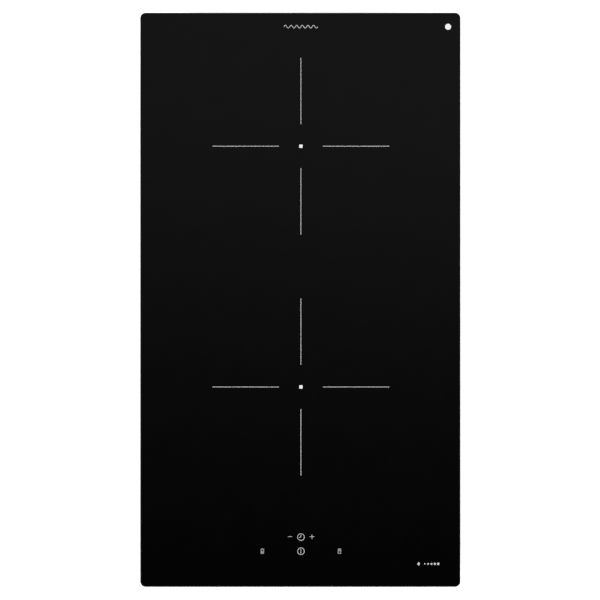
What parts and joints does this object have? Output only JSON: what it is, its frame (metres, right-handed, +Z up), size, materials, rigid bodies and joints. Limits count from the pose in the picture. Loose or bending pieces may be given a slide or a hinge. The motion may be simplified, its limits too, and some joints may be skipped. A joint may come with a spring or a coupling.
{
  "type": "induction cooktop",
  "caption": "Narrow built-in induction cooktop: black glass plate with printed zone crosses on a shallow vented steel casing, held in the worktop by side spring clips.",
  "frame": {"origin": "centre of the footprint, on the level of the casing's feet", "axes": "+Z up, +Y towards the back of the worktop, +X to the cook's right; the touch keys are at -Y"},
  "size_m": [0.29, 0.52, 0.056],
  "materials": {
    "black_glass": "black glass-ceramic, polished top, ground edge, white printed marks",
    "foam_seal": "closed-cell foam strip",
    "silicone": "cured silicone adhesive",
    "galvanised_steel": "hot-dip galvanised sheet",
    "zinc_screw": "bright zinc plate",
    "spring_steel": "tempered spring steel",
    "aluminium": "mill finish",
    "copper_litz": "varnished stranded copper wire",
    "mica": "pressed mica sheet",
    "heat_plastic": "glass-filled moulding",
    "black_plastic": "fine-textured moulding",
    "circuit_board": "green solder mask",
    "film_capacitor": "epoxy-filled case",
    "ferrite": "sintered ferrite",
    "silicone_cap": "heat-proof silicone",
    "rubber": "moulded rubber"
  },
  "bodies": {
    "hob": {"adhesive_bead": "silicone", "bridge_rectifier": "black_plastic", "cable_gland": "rubber", "casing_tray": "galvanised_steel", "coil_spring_front_1": "spring_steel", "coil_spring_front_2": "spring_steel", "coil_spring_front_3": "spring_steel", "coil_spring_rear_1": "spring_steel", "coil_spring_rear_2": "spring_steel", "coil_spring_rear_3": "spring_steel", "coil_support_plate": "aluminium", "dc_link_capacitor": "film_capacitor", "electronics_carrier": "black_plastic", "fan_bearing": "zinc_screw", "fan_cover": "black_plastic", "fan_housing": "black_plastic", "fan_stator": "ferrite", "filter_choke": "ferrite", "frame_screw_front_left": "zinc_screw", "frame_screw_front_right": "zinc_screw", "frame_screw_rear_left": "zinc_screw", "frame_screw_rear_right": "zinc_screw", "glass_top": "black_glass", "heat_sink": "aluminium", "mains_relay": "black_plastic", "power_board": "circuit_board", "power_switch_front": "black_plastic", "power_switch_rear": "black_plastic", "resonant_capacitor_front": "film_capacitor", "resonant_capacitor_rear": "film_capacitor", "seal_gasket": "foam_seal", "standby_transformer": "ferrite", "support_frame": "galvanised_steel", "suppression_capacitor": "film_capacitor", "terminal_block": "heat_plastic", "terminal_box": "black_plastic", "terminal_cover_pin": "zinc_screw", "timer_display": "black_plastic", "touch_board": "circuit_board", "touch_board_bracket": "black_plastic", "zone_display_left": "black_plastic", "zone_display_right": "black_plastic"},
    "fan_impeller": {"fan_rotor": "black_plastic", "fan_shaft": "zinc_screw"},
    "coil_rear": {"coil_carrier_rear": "heat_plastic", "coil_winding_rear": "copper_litz", "mica_disc_rear": "mica", "temperature_sensor_rear": "silicone_cap"},
    "coil_front": {"coil_carrier_front": "heat_plastic", "coil_winding_front": "copper_litz", "mica_disc_front": "mica", "temperature_sensor_front": "silicone_cap"},
    "cover": {"terminal_cover": "black_plastic"},
    "clip_front_left": {"fixing_clip_front_left": "spring_steel"},
    "clip_front_right": {"fixing_clip_front_right": "spring_steel"},
    "clip_rear_left": {"fixing_clip_rear_left": "spring_steel"},
    "clip_rear_right": {"fixing_clip_rear_right": "spring_steel"}
  },
  "joints": [
    {"name": "fan_spin", "type": "hinge", "parent": "hob", "child": "fan_impeller", "pos_m": [-0.074, 0.15, 0.016], "axis": [0, 0, 1], "continuous": true},
    {"name": "coil_rear_float", "type": "slide", "parent": "hob", "child": "coil_rear", "axis": [0, 0, 1], "range_m": [-0.003, 0], "stiffness_N_per_m": 6000, "springref_m": 0.004, "deforming": ["coil_spring_rear_1", "coil_spring_rear_2", "coil_spring_rear_3"]},
    {"name": "coil_front_float", "type": "slide", "parent": "hob", "child": "coil_front", "axis": [0, 0, 1], "range_m": [-0.003, 0], "stiffness_N_per_m": 6000, "springref_m": 0.004, "deforming": ["coil_spring_front_1", "coil_spring_front_2", "coil_spring_front_3"]},
    {"name": "clip_front_left_flex", "type": "hinge", "parent": "hob", "child": "clip_front_left", "pos_m": [-0.1315, -0.12, 0.01], "axis": [0, 1, 0], "range_deg": [0, 13], "stiffness_Nm_per_rad": 3.2},
    {"name": "clip_front_right_flex", "type": "hinge", "parent": "hob", "child": "clip_front_right", "pos_m": [0.1315, -0.12, 0.01], "axis": [0, -1, 0], "range_deg": [0, 13], "stiffness_Nm_per_rad": 3.2},
    {"name": "clip_rear_left_flex", "type": "hinge", "parent": "hob", "child": "clip_rear_left", "pos_m": [-0.1315, 0.12, 0.01], "axis": [0, 1, 0], "range_deg": [0, 13], "stiffness_Nm_per_rad": 3.2},
    {"name": "clip_rear_right_flex", "type": "hinge", "parent": "hob", "child": "clip_rear_right", "pos_m": [0.1315, 0.12, 0.01], "axis": [0, -1, 0], "range_deg": [0, 13], "stiffness_Nm_per_rad": 3.2},
    {"name": "terminal_cover_swing", "type": "hinge", "parent": "hob", "child": "cover", "pos_m": [0.09, 0.2425, 0.0355], "axis": [1, 0, 0], "range_deg": [0, 80]}
  ]
}
